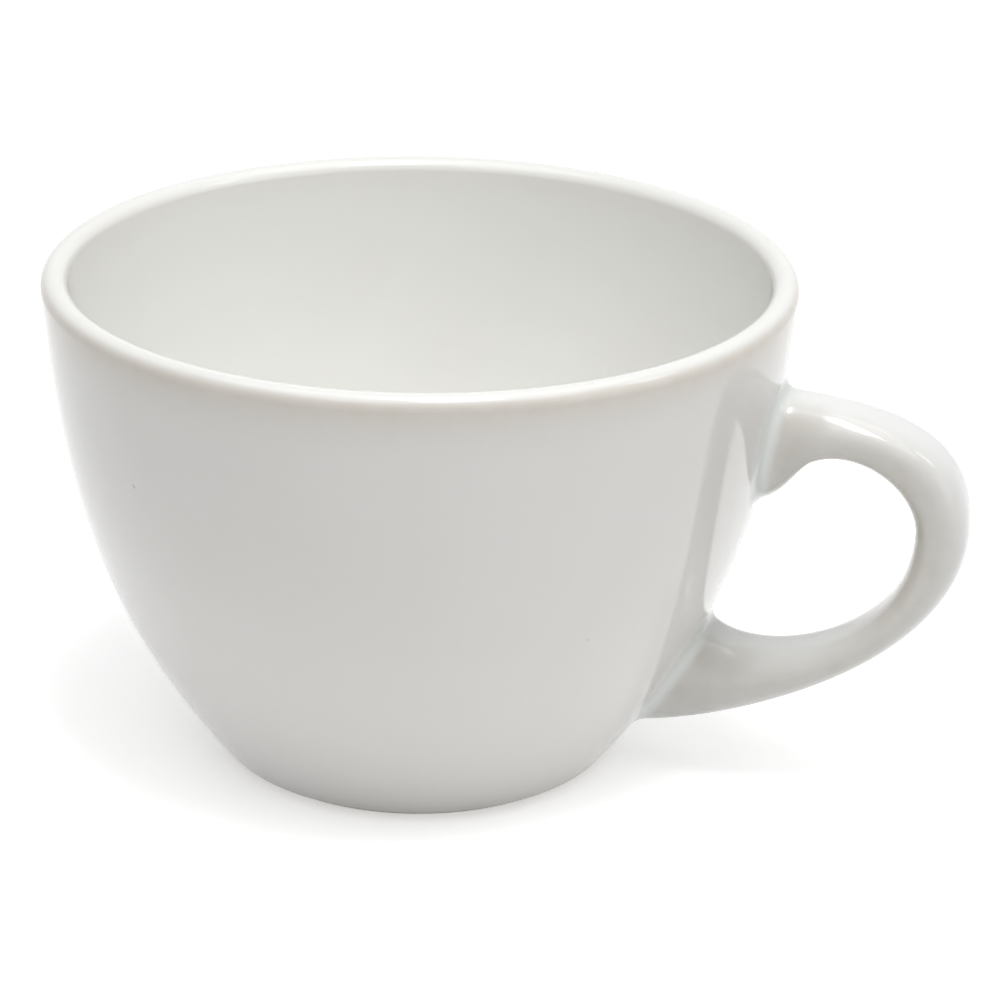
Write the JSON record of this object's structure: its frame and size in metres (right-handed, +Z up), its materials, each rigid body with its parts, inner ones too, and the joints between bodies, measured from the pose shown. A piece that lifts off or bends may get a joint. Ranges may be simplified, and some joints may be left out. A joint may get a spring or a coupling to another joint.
{
  "type": "tea cup",
  "caption": "Glazed ceramic tea cup: a wide rounded bowl on a low foot ring, with a cast ear handle joined to its side with slip.",
  "frame": {"origin": "centre of the foot ring's standing face", "axes": "+Z up along the axis of the bowl, +X towards the handle"},
  "size_m": [0.1184, 0.095, 0.065],
  "materials": {
    "clay_body": "bare fired clay, fine grained and matt",
    "joining_slip": "fired slip, matt",
    "white_glaze": "smooth glossy warm white glaze"
  },
  "bodies": {
    "root": {"bowl": "clay_body", "handle": "clay_body", "upper_slip_joint": "joining_slip", "lower_slip_joint": "joining_slip", "inside_glaze": "white_glaze", "outside_glaze": "white_glaze", "handle_glaze": "white_glaze", "foot_recess_glaze": "white_glaze"}
  },
  "joints": []
}
